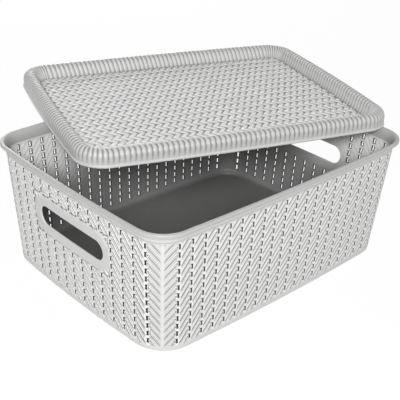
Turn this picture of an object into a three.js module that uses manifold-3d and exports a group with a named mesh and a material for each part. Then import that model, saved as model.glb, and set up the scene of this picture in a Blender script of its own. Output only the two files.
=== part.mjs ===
// A lidded storage box moulded in plastic: a tapered basket with pierced knit-pattern walls and two
// handle holes, and a tray-shaped lid that lies askew across its rim.
// Millimetres, +Z up. The origin is the centre of the basket's underside, +X runs along its length
// and -Y is its front.
import * as THREE from "three";
import { mergeGeometries, mergeVertices } from "three/addons/utils/BufferGeometryUtils.js";
import Module from "manifold-3d";

// Basket
const rimLength = 380;
const rimWidth = 287;
const rimCornerRadius = 34;
const basketHeight = 143.4;
const baseLength = 353;
const baseWidth = 266;
const baseCornerRadius = 35;
const sideBow = 2.9; // how far each side bulges at its middle
const wallThickness = 2.2;
const floorThickness = 2.4;
const floorEdgeRound = 1.8;

// Rim: a lip that flares out over the wall
const rimDepth = 11.8; // from the pattern's top edge up to the lip
const lipOverhang = 5.8;
const lipThickness = 3.8;
const lipRound = 1;
const lipTopWidth = 2; // from the lip's edge to where the inside starts to fall

// Slots: upright columns of small slots, in rows
const slotWidth = 2;
const slotHeight = 5.4;
const slotRowPitch = 9.2;
const slotTopMargin = 3.4; // from the rim down to the first row
const baseBand = 10; // kept plain above the basket's underside
const frontColumnPitch = 15.6;
const endColumnPitch = 16.3;
const cornerMargin = 20; // where each wall gives way to the corners, short of the outermost point

// Handle holes, one in each end wall
const handleLength = 105;
const handleHeight = 22;
const handleDrop = 55.4; // from the lip down to the hole's centre
const handleBorder = 11; // the plain band around the hole, where the pattern stops

// Lid
const lidEdge = 0.2; // how far the lid stands outside the rim's edge when it is closed
const lidHeight = 18;
const lidRollRadius = 8.6;
const lidBorderWidth = 21.2; // from the lid's edge to the sunken panel
const lidSkin = 2.2;
const lidPanelThickness = 3; // at the panel's edge

// Ridges that run along the lid's panel, one for each pair of rows of its weave
const ridgePitch = 16.08;
const ridgeHeight = 1.4;
const ridgeTopWidth = 4;
const ridgeCrest = 3.4; // height of the ridges above the lid's underside

// Where the lid lies on the basket
const lidTurn = THREE.MathUtils.degToRad(-19.4);
const lidShiftX = 64;
const lidShiftY = 81;
const restGap = 0.3;

// Fineness of the faceted outlines
const cornerSteps = 6;
const sideSteps = 6;
const rollSteps = 5;
const flareSteps = 3;
const handleEndSteps = 7;
const cornerPasses = 8; // rounds of working out where the bulging sides meet

const wallTop = basketHeight - rimDepth;
const handleCentreHeight = basketHeight - handleDrop;
const halfwayRound = 1 - Math.SQRT1_2; // how far in a rounded edge is at its middle, as a share of its radius

const basketPlastic = new THREE.MeshStandardMaterial({ color: 0xd8d6d2, roughness: 0.5, metalness: 0 });
const lidPlastic = new THREE.MeshStandardMaterial({ color: 0xdad8d5, roughness: 0.45, metalness: 0 });

const wasm = await Module();
wasm.setup();

// One point of a bulging side: "along" runs along the side from its middle, and the result is how far
// out and how far along the point lies, and the angle that the side has turned by there. The side is a
// parabola on the inner rectangle, moved out by the corner radius.
function bulgingSide(along, innerHalf, innerHalfAlong, radius, bow) {
  const slope = (2 * bow * along) / innerHalfAlong ** 2;
  const step = radius / Math.hypot(1, slope);
  const out = innerHalf - bow * (along / innerHalfAlong) ** 2 + step;
  return { out, along: along + slope * step, turned: Math.atan(slope) };
}

// A rounded rectangle whose sides bulge, at height z, from the middle of its +X side and round
// counter-clockwise. Each corner is an arc that meets the two sides smoothly.
function outline({ halfLength, halfWidth, radius, bow }, z) {
  const innerX = halfLength - radius;
  const innerY = halfWidth - radius;
  let cornerX = innerX;
  let cornerY = innerY;
  for (let pass = 0; pass < cornerPasses; pass++) {
    cornerY = innerY - bow * (cornerX / innerX) ** 2;
    cornerX = innerX - bow * (cornerY / innerY) ** 2;
  }
  const half = sideSteps / 2;
  const quarter = [];
  for (let i = 0; i <= half; i++) {
    const side = bulgingSide((cornerY * i) / half, innerX, innerY, radius, bow);
    quarter.push([side.out, side.along]);
  }
  const startAngle = bulgingSide(cornerY, innerX, innerY, radius, bow).turned;
  const endAngle = Math.PI / 2 - bulgingSide(cornerX, innerY, innerX, radius, bow).turned;
  for (let i = 1; i < cornerSteps; i++) {
    const angle = startAngle + ((endAngle - startAngle) * i) / cornerSteps;
    quarter.push([cornerX + radius * Math.cos(angle), cornerY + radius * Math.sin(angle)]);
  }
  for (let i = half; i >= 0; i--) {
    const side = bulgingSide((cornerX * i) / half, innerY, innerX, radius, bow);
    quarter.push([side.along, side.out]);
  }
  const mirrored = quarter.slice(1, -1).reverse().map(([x, y]) => [-x, y]);
  const upperHalf = [...quarter, ...mirrored];
  const lowerHalf = upperHalf.map(([x, y]) => [-x, -y]);
  return [...upperHalf, ...lowerHalf].map(([x, y]) => new THREE.Vector3(x, y, z));
}

// The rim's outline, and the outline at a distance inside it.
function rimOutline(inset, z) {
  return outline(
    {
      halfLength: rimLength / 2 - inset,
      halfWidth: rimWidth / 2 - inset,
      radius: rimCornerRadius - inset,
      bow: sideBow,
    },
    z,
  );
}

// The wall's size at a height: it tapers evenly from the rim's underside down to the base.
function wallSize(z) {
  const t = z / wallTop;
  const mix = THREE.MathUtils.lerp;
  return {
    halfLength: mix(baseLength / 2, rimLength / 2 - lipOverhang, t),
    halfWidth: mix(baseWidth / 2, rimWidth / 2 - lipOverhang, t),
    radius: mix(baseCornerRadius, rimCornerRadius - lipOverhang, t),
    bow: sideBow,
  };
}

function wallOutline(inset, z) {
  const { halfLength, halfWidth, radius, bow } = wallSize(z);
  return outline(
    { halfLength: halfLength - inset, halfWidth: halfWidth - inset, radius: radius - inset, bow },
    z,
  );
}

// A closed body from loops of equally many points: joined as a ring, or capped at both ends.
function loft(loops, capped) {
  const count = loops[0].length;
  const points = loops.flat();
  const index = [];
  const bands = capped ? loops.length - 1 : loops.length;
  for (let band = 0; band < bands; band++) {
    const low = band * count;
    const high = ((band + 1) % loops.length) * count;
    for (let i = 0; i < count; i++) {
      const j = (i + 1) % count;
      index.push(low + i, low + j, high + j, low + i, high + j, high + i);
    }
  }
  if (capped) {
    const centreOf = (loop) => {
      const sum = loop.reduce((total, point) => total.add(point), new THREE.Vector3());
      return sum.divideScalar(count);
    };
    const bottom = points.push(centreOf(loops[0])) - 1;
    const top = points.push(centreOf(loops[loops.length - 1])) - 1;
    const lastLoop = (loops.length - 1) * count;
    for (let i = 0; i < count; i++) {
      const j = (i + 1) % count;
      index.push(j, i, bottom, lastLoop + i, lastLoop + j, top);
    }
  }
  const geometry = new THREE.BufferGeometry().setFromPoints(points);
  geometry.setIndex(index);
  return geometry;
}

// Three.js geometry to a solid that can be cut, and back.
function solid(geometry) {
  const bare = new THREE.BufferGeometry();
  bare.setAttribute("position", geometry.getAttribute("position"));
  bare.setIndex(geometry.index);
  const merged = mergeVertices(bare, 1e-4);
  return new wasm.Manifold(
    new wasm.Mesh({
      numProp: 3,
      vertProperties: merged.attributes.position.array,
      triVerts: new Uint32Array(merged.index.array),
    }),
  );
}

function geometryOf(body) {
  const mesh = body.getMesh();
  const geometry = new THREE.BufferGeometry();
  geometry.setAttribute("position", new THREE.BufferAttribute(mesh.vertProperties, 3));
  geometry.setIndex(new THREE.BufferAttribute(mesh.triVerts, 1));
  geometry.computeVertexNormals();
  return geometry;
}

function part(name, geometry, material) {
  const mesh = new THREE.Mesh(geometry, material);
  mesh.name = name;
  return mesh;
}

// The height of the middle of each row of slots, from the top row down to the plain base band.
const slotField = wallTop - slotTopMargin - baseBand - slotHeight;
const rowHeights = Array.from(
  { length: Math.floor(slotField / slotRowPitch) + 1 },
  (_, row) => wallTop - slotTopMargin - slotHeight / 2 - row * slotRowPitch,
);

// As many columns as fit on either side of a wall's middle one, a slot's width short of the corner.
const topSize = wallSize(wallTop);
const slotReach = cornerMargin + slotWidth;
const frontSideColumns = Math.floor((topSize.halfLength - slotReach) / frontColumnPitch);
const endSideColumns = Math.floor((topSize.halfWidth - slotReach) / endColumnPitch);

// Where the columns stand at one height: the spread is what the wall's taper leaves of it there.
function columnOffsets(sideColumns, pitch, spread) {
  return Array.from({ length: 2 * sideColumns + 1 }, (_, i) => (i - sideColumns) * pitch * spread);
}

// Deep enough to pass through a wall anywhere along its bulge and round the start of its corner.
const cutDepth = 6 * (wallThickness + sideBow);

// Every slot of one long wall (side = -1 front, +1 back) as upright blocks through the wall.
function longWallSlots(side) {
  const blocks = [];
  for (const z of rowHeights) {
    const { halfLength, halfWidth } = wallSize(z);
    const spread = halfLength / topSize.halfLength;
    for (const x of columnOffsets(frontSideColumns, frontColumnPitch, spread)) {
      const block = new THREE.BoxGeometry(slotWidth, cutDepth, slotHeight);
      blocks.push(block.translate(x, side * (halfWidth - sideBow), z));
    }
  }
  return mergeGeometries(blocks);
}

// Whether a point of an end wall lies in the plain band around the handle hole.
function inHandleBorder(y, z) {
  const straight = (handleLength - handleHeight) / 2;
  const outside = Math.max(Math.abs(y) - straight, 0);
  return Math.hypot(outside, z - handleCentreHeight) < handleHeight / 2 + handleBorder;
}

function endWallSlots(side) {
  const blocks = [];
  for (const z of rowHeights) {
    const { halfLength, halfWidth } = wallSize(z);
    const spread = halfWidth / topSize.halfWidth;
    for (const y of columnOffsets(endSideColumns, endColumnPitch, spread)) {
      if (inHandleBorder(y, z)) continue;
      const block = new THREE.BoxGeometry(cutDepth, slotWidth, slotHeight);
      blocks.push(block.translate(side * (halfLength - sideBow), y, z));
    }
  }
  return mergeGeometries(blocks);
}

// Turns an extruded shape so that its X lies along Y, its Y along Z and its depth along X, centred.
function alongX(geometry, depth) {
  const turn = new THREE.Matrix4().makeBasis(
    new THREE.Vector3(0, 1, 0),
    new THREE.Vector3(0, 0, 1),
    new THREE.Vector3(1, 0, 0),
  );
  return geometry.translate(0, 0, -depth / 2).applyMatrix4(turn);
}

// The handle hole: a slot with round ends, pushed through the end wall along X.
function handleCutter(side) {
  const radius = handleHeight / 2;
  const straight = handleLength / 2 - radius;
  const shape = new THREE.Shape();
  shape.absarc(straight, 0, radius, -Math.PI / 2, Math.PI / 2, false);
  shape.absarc(-straight, 0, radius, Math.PI / 2, (3 * Math.PI) / 2, false);
  const cutter = new THREE.ExtrudeGeometry(shape, {
    depth: cutDepth,
    bevelEnabled: false,
    curveSegments: handleEndSteps,
  });
  const { halfLength } = wallSize(handleCentreHeight);
  return alongX(cutter, cutDepth).translate(side * (halfLength - sideBow), 0, handleCentreHeight);
}

// The whole skirt of the basket between floor and rim, before it is divided into walls and corners.
const skirt = solid(
  loft(
    [
      wallOutline(0, floorThickness),
      wallOutline(0, wallTop),
      wallOutline(wallThickness, wallTop),
      wallOutline(wallThickness, floorThickness),
    ],
    false,
  ),
);

// The basket is divided in plan by lines that stay a margin inside the tapering walls' outermost points.
// A region is named by its side along X and along Y: 0 for the middle, and -1 or 1 beyond the lines.
const regions = [
  { name: "front", sideX: 0, sideY: -1 },
  { name: "back", sideX: 0, sideY: 1 },
  { name: "left", sideX: -1, sideY: 0 },
  { name: "right", sideX: 1, sideY: 0 },
  { name: "front_left", sideX: -1, sideY: -1 },
  { name: "front_right", sideX: 1, sideY: -1 },
  { name: "back_left", sideX: -1, sideY: 1 },
  { name: "back_right", sideX: 1, sideY: 1 },
];

function regionSpan(side, line, beyond) {
  if (side === 0) return [-line, line];
  return side < 0 ? [-beyond, -line] : [line, beyond];
}

function regionSolid({ sideX, sideY }) {
  const loops = [0, basketHeight].map((z) => {
    const { halfLength, halfWidth } = wallSize(z);
    const [lowX, highX] = regionSpan(sideX, halfLength - cornerMargin, rimLength);
    const [lowY, highY] = regionSpan(sideY, halfWidth - cornerMargin, rimWidth);
    const corners = [[lowX, lowY], [highX, lowY], [highX, highY], [lowX, highY]];
    return corners.map(([x, y]) => new THREE.Vector3(x, y, z));
  });
  return solid(loft(loops, true));
}

// The four walls with their slots and handle holes, and the four plain corners between them.
function basketWalls() {
  return regions.map(({ name, sideX, sideY }) => {
    const plain = skirt.intersect(regionSolid({ sideX, sideY }));
    if (sideX === 0) {
      const wall = plain.subtract(solid(longWallSlots(sideY)));
      return part(`basket_${name}_wall`, geometryOf(wall), basketPlastic);
    }
    if (sideY === 0) {
      const wall = plain.subtract(solid(endWallSlots(sideX))).subtract(solid(handleCutter(sideX)));
      return part(`basket_${name}_wall`, geometryOf(wall), basketPlastic);
    }
    return part(`basket_corner_${name}`, geometryOf(plain), basketPlastic);
  });
}

function basketFloor() {
  const roundedIn = floorEdgeRound * halfwayRound;
  const loops = [
    wallOutline(floorEdgeRound, 0),
    wallOutline(roundedIn, roundedIn),
    wallOutline(0, floorEdgeRound),
    wallOutline(0, floorThickness),
  ];
  const geometry = loft(loops, true);
  geometry.computeVertexNormals();
  return part("basket_floor", geometry, basketPlastic);
}

// A quarter of an ellipse that starts upright and bends outwards until it is level: each entry is the
// distance inside the rim's edge and the height.
function flare(fromInset, toInset, rise, steps) {
  return Array.from({ length: steps + 1 }, (_, i) => {
    const angle = (Math.PI / 2) * (i / steps);
    return [toInset + (fromInset - toInset) * Math.cos(angle), wallTop + rise * Math.sin(angle)];
  });
}

// The rim's section: the flare under the lip, the lip's edge, its rounded top and the inner flare.
function rimSection() {
  const roundedIn = lipRound * halfwayRound;
  const lipEdge = [
    [0, basketHeight - lipRound],
    [roundedIn, basketHeight - roundedIn],
    [lipRound, basketHeight],
  ];
  const outer = flare(lipOverhang, 0, rimDepth - lipThickness, flareSteps);
  const inner = flare(lipOverhang + wallThickness, lipTopWidth, rimDepth, flareSteps + 1);
  return [...outer, ...lipEdge, ...inner.reverse()];
}

// The rim runs all the way round, divided where the walls and corners below it are.
function basketRim() {
  const loops = rimSection().map(([inset, z]) => rimOutline(inset, z));
  const ring = solid(loft(loops, false));
  return regions.map((region) => {
    const stretch = ring.intersect(regionSolid(region));
    return part(`basket_rim_${region.name}`, geometryOf(stretch), basketPlastic);
  });
}

// The lid's outline at a distance inside its edge.
function lidOutline(inset, z) {
  return outline(
    {
      halfLength: rimLength / 2 + lidEdge - inset,
      halfWidth: rimWidth / 2 + lidEdge - inset,
      radius: rimCornerRadius + lidEdge - inset,
      bow: sideBow,
    },
    z,
  );
}

// A section is a list of points of distance inside the lid's edge and height above its underside.
// One skin of the lid's rolled border: an arc over the roll that ends where the slope down to the
// panel touches it. The inner skin is the same arc, smaller by the skin's thickness.
function rollSkin(radius, touchAngle) {
  const centreHeight = lidHeight - lidRollRadius;
  return Array.from({ length: rollSteps + 1 }, (_, i) => {
    const angle = Math.PI + ((touchAngle - Math.PI) * i) / rollSteps;
    return [lidRollRadius + radius * Math.cos(angle), centreHeight + radius * Math.sin(angle)];
  });
}

function lidBorderSection() {
  const centreHeight = lidHeight - lidRollRadius;
  const toPanelX = lidBorderWidth - lidRollRadius;
  const toPanelZ = lidPanelThickness - centreHeight;
  const reach = Math.hypot(toPanelX, toPanelZ);
  const touchAngle = Math.atan2(toPanelZ, toPanelX) + Math.acos(lidRollRadius / reach);
  const outer = rollSkin(lidRollRadius, touchAngle);
  const inner = rollSkin(lidRollRadius - lidSkin, touchAngle);
  // the inner slope runs on, parallel to the outer one, down to the lid's underside
  const [innerX, innerZ] = inner[inner.length - 1];
  const innerFoot = [innerX + innerZ * Math.tan(touchAngle), 0];
  const panelEdge = [[lidBorderWidth, lidPanelThickness], [lidBorderWidth, 0]];
  return [innerFoot, ...inner.reverse(), [lidSkin, 0], [0, 0], ...outer, ...panelEdge];
}

function lidBorder() {
  const loops = lidBorderSection().map(([inset, z]) => lidOutline(inset, z));
  const geometry = loft(loops, false);
  geometry.computeVertexNormals();
  return part("lid_border", geometry, lidPlastic);
}

// A slab whose top has ridges, the middle one along the lid's middle line.
function ridgedSlab() {
  const reach = Math.ceil(rimWidth / 2 / ridgePitch);
  const end = (reach + 0.5) * ridgePitch;
  const low = ridgeCrest - ridgeHeight;
  const shape = new THREE.Shape();
  shape.moveTo(-end, -ridgeCrest); // the slab's own underside lies below the lid's
  shape.lineTo(end, -ridgeCrest);
  for (let ridge = reach; ridge >= -reach; ridge--) {
    const middle = ridge * ridgePitch;
    shape.lineTo(middle + ridgePitch / 2, low);
    shape.lineTo(middle + ridgeTopWidth / 2, ridgeCrest);
    shape.lineTo(middle - ridgeTopWidth / 2, ridgeCrest);
  }
  shape.lineTo(-end, low);
  return alongX(new THREE.ExtrudeGeometry(shape, { depth: rimLength, bevelEnabled: false }), rimLength);
}

function lidPanel() {
  const plate = solid(loft([0, ridgeCrest].map((z) => lidOutline(lidBorderWidth, z)), true));
  return part("lid_panel", geometryOf(plate.intersect(solid(ridgedSlab()))), lidPlastic);
}

const basket = new THREE.Group();
basket.add(basketFloor(), ...basketWalls(), ...basketRim());

const lid = new THREE.Group();
lid.add(lidBorder(), lidPanel());
lid.rotation.z = lidTurn;
lid.position.set(lidShiftX, lidShiftY, basketHeight + restGap);

const storageBox = new THREE.Group();
storageBox.add(basket, lid);

export default storageBox;
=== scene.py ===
import math

import bpy
import numpy as np
from mathutils import Matrix, Vector


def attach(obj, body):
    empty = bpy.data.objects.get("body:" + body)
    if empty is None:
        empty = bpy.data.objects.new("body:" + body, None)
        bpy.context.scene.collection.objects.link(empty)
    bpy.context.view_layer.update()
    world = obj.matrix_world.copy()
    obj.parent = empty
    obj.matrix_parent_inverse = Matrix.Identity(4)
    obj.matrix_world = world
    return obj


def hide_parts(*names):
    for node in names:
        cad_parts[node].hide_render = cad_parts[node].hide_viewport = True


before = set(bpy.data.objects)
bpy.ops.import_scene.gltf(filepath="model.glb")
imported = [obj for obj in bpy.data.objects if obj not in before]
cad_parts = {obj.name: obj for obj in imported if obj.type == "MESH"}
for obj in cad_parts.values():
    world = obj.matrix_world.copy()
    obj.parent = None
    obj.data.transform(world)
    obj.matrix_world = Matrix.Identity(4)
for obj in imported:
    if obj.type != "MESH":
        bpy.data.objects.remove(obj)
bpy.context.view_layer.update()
print("frame loaded")

# the basket's outline, as the CAD has it
basket = {
    "rim": (190.0, 143.5, 34.0),  # half length, half width and corner radius
    "lipOverhang": 5.8,
    "base": (176.5, 133.0, 35.0),
    "bow": 2.9,  # how far each side bulges at its middle
    "height": 143.4,
    "wallTop": 131.6,  # where the pattern ends and the rim begins
    "wallFoot": 5.0,  # where the wall rises from the floor's rounded edge
    "wallThickness": 2.2,
    "skin": 1.5,  # the walls' thickness between the slots, under the pattern
    "innerRelief": 0.35,  # how much of the relief's depth their inner side has too
}

# the knit pattern of the walls: slanting strands between upright columns of slots
knit = {
    "topSlot": 125.5,  # height of the middle of the top row of slots
    "rowPitch": 9.2,
    "rows": 13,
    "slotHalfHeight": 2.85,
    "slotHalfWidth": 1.4,
    "slotWaist": 0.95,
    "waistCurve": 0.7,
    "long": (15.6, 10),  # pitch of a long wall's slot columns, and how many on either side of the middle one
    "end": (16.3, 7),
    "margin": 3.0,  # how far a wall runs on past its last slots
    "firstRow": -0.12,  # where a strand starts, in rows above a slot's middle
    "climb": 1.55,  # rows that it climbs to the next slots
    "cornerClimb": 3.55,  # rows that it climbs round a corner
    "climbRest": 1.4,  # how far from the slots it starts and ends its climb
    "climbBend": 1.6,
    "strandDepths": (0.0, 0.55, 0.2, 0.95, 1.7, 1.0, 0.45, 0.7, 0.0),  # below a strand's crest, up one row
    "strandEnd": 0.9,  # how far from the slots ahead the strands have sunk
    "strandFade": 1.6,
    "knotEnd": 1.5,  # how far the smooth knot beside a slot reaches
    "knotFade": 2.4,
    "knotDepth": 0.5,
    "spurDepth": 0.7,  # the short groove that slants up from each slot's corner
    "spurStart": 0.22,  # its height at the slot and its rise per millimetre, in rows
    "spurRise": 0.065,
    "spurWidth": 0.07,
    "spurReach": 4.6,
    "spurFade": 1.6,
    "cornerShare": 0.4,  # how much of the relief's depth the corners have
    "cornerCurve": 1.35,  # how much steeper the near corner's strands are at its middle
    "bandShift": 0.9,  # how far the strands' start is moved in towards that middle
    "peakAhead": 21.0,  # the distance ahead of the strands that meet at the far corner's middle
    "topFade": 3.0,  # the height over which the pattern fades out under the rim
    "footFade": (4.2, 3.6),  # where it ends below the lowest slots, and the height over which it fades
    "handFade": (2.0, 6.0),  # where it ends inside the hand hole's border, and the width over which it fades
    "plainShade": 0.85,  # painted shade mark of the plain bands and the hand hole's border, which darkens their colour
    "cornerShade": 0.06,  # and the painted shade that the corners add to theirs
    "slotShades": (0.5, 4.2),  # painted shade marks of a slot's outer and inner edges, which paint the slot's sides dark
    "insideShades": (0.45, 1.35),  # and painted shade marks of the walls' inner side, near its top and near its foot
    "insideFade": (112.0, 62.0),  # the height where these begin to change, and the height that they take
    "linesBetween": 11,  # grid lines between the edges of neighbouring slot columns
    "levelSteps": (6, 5),  # grid steps over a slot's height and over the bridge above it
    "footLevels": (5.0, 6.4, 7.6, 8.6, 9.4, 10.2, 11.0, 11.7),  # heights of the grid's levels below the slots
    "cornerLines": 65,  # grid lines round a corner
}
lowestSlot = knit["topSlot"] - (knit["rows"] - 1) * knit["rowPitch"]
edgeLines = 3  # grid lines past the middle of the last slots
columnLines = knit["linesBetween"] + 3  # grid lines from one slot column to the next
footLevels = len(knit["footLevels"])
rowLevels = sum(knit["levelSteps"])

# the hand hole, with round ends, in the middle of each end wall
handHole = {
    "halfLength": 52.5,
    "radius": 11.0,
    "height": 88.0,
    "border": 11.0,  # the smooth band around it
    "columns": 4,  # the patch around it ends at the fourth slot columns on either side
    "rows": (8, 2),  # and at the eighth and the second row
    "slides": (0.84, 0.68, 0.53, 0.39, 0.26, 0.14, 0.05, 0.0),  # rings from the patch's edge to the hole's
    "edgeSteps": 8,  # steps around its rounded edge
}


def joined(*parts):
    # coordinates, or the corners of faces, side by side along a new last axis
    return np.stack(np.broadcast_arrays(*parts), axis=-1)


def smooth(share):
    # an S-shaped ramp from 0 to 1: 3 x squared less 2 x cubed
    share = np.clip(share, 0, 1)
    return share * share * (3 - 2 * share)


def pairKeys(pairs, span):
    # one number for each pair of points, whichever comes first
    pairs = np.sort(np.asarray(pairs, dtype=np.int64), axis=1)
    return pairs[:, 0] * span + pairs[:, 1]


def pieceFrom(name, points, faceLists, sharpPairs=None, marks=None):
    # A mesh object from points in millimetres and lists of faces, each list with one corner count. Marks are
    # three numbers at each point: the painted shade, mostly from how hollow the relief is, the strands' phase
    # and their strength.
    points = np.reshape(points, (-1, 3)) / 1000
    corners = np.concatenate([faces.ravel() for faces in faceLists]).astype(np.int32)
    counts = np.concatenate([np.full(faces.size // faces.shape[-1], faces.shape[-1]) for faces in faceLists])
    starts = (np.cumsum(counts) - counts).astype(np.int32)
    mesh = bpy.data.meshes.new(name)
    mesh.vertices.add(len(points))
    mesh.vertices.foreach_set("co", points.astype(np.float32).ravel())
    mesh.loops.add(len(corners))
    mesh.loops.foreach_set("vertex_index", corners)
    mesh.polygons.add(len(counts))
    mesh.polygons.foreach_set("loop_start", starts)
    mesh.polygons.foreach_set("use_smooth", np.ones(len(counts), dtype=bool))
    mesh.update(calc_edges=True)
    if sharpPairs is not None:
        ends = np.empty(len(mesh.edges) * 2, dtype=np.int32)
        mesh.edges.foreach_get("vertices", ends)
        isSharp = np.isin(pairKeys(ends.reshape(-1, 2), len(points)), pairKeys(sharpPairs, len(points)))
        mesh.attributes.new("sharp_edge", "BOOLEAN", "EDGE")
        mesh.attributes["sharp_edge"].data.foreach_set("value", isSharp)
    if marks is not None:
        mesh.attributes.new("marks", "FLOAT_VECTOR", "POINT")
        marks = np.ascontiguousarray(marks, dtype=np.float32)
        mesh.attributes["marks"].data.foreach_set("vector", marks.ravel())
    piece = bpy.data.objects.new(name, mesh)
    bpy.context.scene.collection.objects.link(piece)
    return piece


def quads(ids, wraps=(0, 0)):
    # the cells of a grid of vertex numbers, which may run round to its start in either direction
    ids = np.pad(ids, [(0, wraps[0]), (0, wraps[1])], mode="wrap")
    return joined(ids[:-1, :-1], ids[1:, :-1], ids[1:, 1:], ids[:-1, 1:])


def gridShell(outer, inner, kept, carriedOn, leansBack=False):
    # Faces of a sheet with thickness. Outer and inner are grids of vertex numbers [line, level], kept says
    # which cells are there, and each of their free edges gets a face across the thickness, except beside the
    # cells that other faces carry on. A quad is split from its first corner, to follow the strands.
    outerQuads, innerQuads = quads(outer), quads(inner)
    turn = -1 if leansBack else 0
    outerCells = np.roll(outerQuads[kept], turn, axis=1)
    innerCells = np.roll(innerQuads[kept], turn, axis=1)[:, ::-1]
    padded = np.pad(kept | carriedOn, 1)
    beside = [
        (kept & ~padded[1:-1, :-2], 0, 1),
        (kept & ~padded[2:, 1:-1], 1, 2),
        (kept & ~padded[1:-1, 2:], 2, 3),
        (kept & ~padded[:-2, 1:-1], 3, 0),
    ]
    acrossFaces = []
    sharpPairs = []
    for isEdge, start, end in beside:
        out, back = outerQuads[isEdge], innerQuads[isEdge]
        acrossFaces.append(joined(out[:, end], out[:, start], back[:, start], back[:, end]))
        sharpPairs.append(joined(out[:, start], out[:, end]))
        sharpPairs.append(joined(back[:, start], back[:, end]))
    faces = np.concatenate([outerCells, innerCells] + acrossFaces)
    return faces, np.concatenate(sharpPairs)


def wallSize(z):
    # the outline's half length, half width and corner radius, which change evenly with the height
    share = z / basket["wallTop"]
    overhang = basket["lipOverhang"]
    return [low + (high - overhang - low) * share for low, high in zip(basket["base"], basket["rim"])]


def cornerCentre(innerX, innerY):
    # where the two bulging sides of the inner rectangle meet, by repeated substitution
    bow = basket["bow"]
    cornerX, cornerY = innerX, innerY
    for _ in range(8):
        cornerY = innerY - bow * (cornerX / innerX) ** 2
        cornerX = innerX - bow * (cornerY / innerY) ** 2
    return cornerX, cornerY


def wallPoint(side, lateral, z):
    # How far out a wall's surface lies at a sideways place and a height, and its outward direction.
    # The side is a parabola moved out by the corner radius, and past its end it is the corner's arc.
    bow = basket["bow"]
    halfLength, halfWidth, radius = wallSize(z)
    innerX, innerY = halfLength - radius, halfWidth - radius
    cornerX, cornerY = cornerCentre(innerX, innerY)
    if side == "long":
        inner, innerAlong, cornerOut, cornerAlong = innerY, innerX, cornerY, cornerX
    else:
        inner, innerAlong, cornerOut, cornerAlong = innerX, innerY, cornerX, cornerY
    distance = np.abs(lateral)
    along = distance
    for _ in range(6):
        slope = 2 * bow * along / innerAlong**2
        along = distance - slope * radius / np.hypot(1, slope)
    sideTurn = np.arctan(2 * bow * along / innerAlong**2)
    sideOut = inner - bow * (along / innerAlong) ** 2 + radius * np.cos(sideTurn)
    arcTurn = np.arcsin(np.clip((distance - cornerAlong) / radius, -1, 1))
    arcOut = cornerOut + radius * np.cos(arcTurn)
    onSide = along <= cornerAlong
    turn = np.where(onSide, sideTurn, arcTurn)
    out = np.where(onSide, sideOut, arcOut)
    return out, np.sign(lateral) * np.sin(turn), np.cos(turn)


def outlineTurns(halfLength, halfWidth, radius, count):
    # A quarter of the outline, from the middle of a long side round to the middle of an end: points on the
    # inner rectangle's bulging sides, each side a parabola, and the angle of the outward direction at each.
    bow = basket["bow"]
    innerX, innerY = halfLength - radius, halfWidth - radius
    cornerX, cornerY = cornerCentre(innerX, innerY)
    share = np.linspace(0, 1, count)
    alongX = cornerX * share
    alongY = cornerY * (1 - share)
    longTurn = np.arctan(2 * bow * alongX / innerX**2)
    endTurn = np.pi / 2 - np.arctan(2 * bow * alongY / innerY**2)
    arcTurn = longTurn[..., -1:] + (endTurn[..., :1] - longTurn[..., -1:]) * share[1:-1]
    onArc = np.ones_like(arcTurn)
    baseX = np.concatenate([alongX, cornerX * onArc, innerX - bow * (alongY / innerY) ** 2], axis=-1)
    baseY = np.concatenate([innerY - bow * (alongX / innerX) ** 2, cornerY * onArc, alongY], axis=-1)
    return baseX, baseY, np.concatenate([longTurn, arcTurn, endTurn], axis=-1)


def quarterOutline(z):
    # the quarter outline at each height, as tables of points, outward angles and lengths along it
    halfLength, halfWidth, radius = (size[:, None] for size in wallSize(z))
    baseX, baseY, turn = outlineTurns(halfLength, halfWidth, radius, 160)
    pointX = baseX + radius * np.sin(turn)
    pointY = baseY + radius * np.cos(turn)
    steps = np.hypot(np.diff(pointX, axis=1), np.diff(pointY, axis=1))
    length = np.concatenate([np.zeros_like(radius), np.cumsum(steps, axis=1)], axis=1)
    return pointX, pointY, turn, length


def readRows(where, keys, values):
    # linear interpolation row by row, done in one pass by setting the rows end to end
    shift = np.arange(len(keys))[:, None] * (keys.max() * 4)
    found = np.interp((where + shift).ravel(), (keys + shift).ravel(), values.ravel())
    return found.reshape(where.shape)


def columnSpread(side, z):
    # what the taper leaves of the columns' spread at a height
    sizeIndex = 0 if side == "long" else 1
    return wallSize(z)[sizeIndex] / wallSize(basket["wallTop"])[sizeIndex]


def cornerReach(z, outline, margin):
    # lengths along the quarter outline of a long side's last slots and an end's first, each with a margin
    pointX, pointY, _, length = outline
    reaches = []
    for side in ("long", "end"):
        pitch, columns = knit[side]
        reaches.append(columns * pitch * columnSpread(side, z)[:, None] + margin)
    # the end's points run backwards, so they are counted from a place beyond them
    beyond = 1000
    return readRows(reaches[0], pointX, length), readRows(beyond - reaches[1], beyond - pointY, length)


cornerHeights = np.linspace(0, basket["wallTop"], 12)
cornerStarts, cornerEnds = cornerReach(cornerHeights, quarterOutline(cornerHeights), 0)


def handDistance(lateral, z):
    # how far a point lies outside the hand hole, the sideways place of the nearest point on the hole's middle
    # line, and the direction away from that point
    straight = handHole["halfLength"] - handHole["radius"]
    centre = np.clip(lateral, -straight, straight)
    awayAlong = lateral - centre
    awayUp = z - handHole["height"]
    reach = np.maximum(np.hypot(awayAlong, awayUp), 1e-6)
    return reach - handHole["radius"], centre, awayAlong / reach, awayUp / reach


def coverage(z, handGap=None):
    # where the pattern is there: it fades out under the rim, above the base and around the hand hole
    footStart, footFade = knit["footFade"]
    fromFoot = z - lowestSlot + knit["slotHalfHeight"] + footStart
    cover = smooth((basket["wallTop"] - z) / knit["topFade"]) * smooth(fromFoot / footFade)
    if handGap is not None:
        handStart, handFade = knit["handFade"]
        cover = cover * smooth((handGap - handHole["border"] + handStart) / handFade)
    return cover


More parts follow.
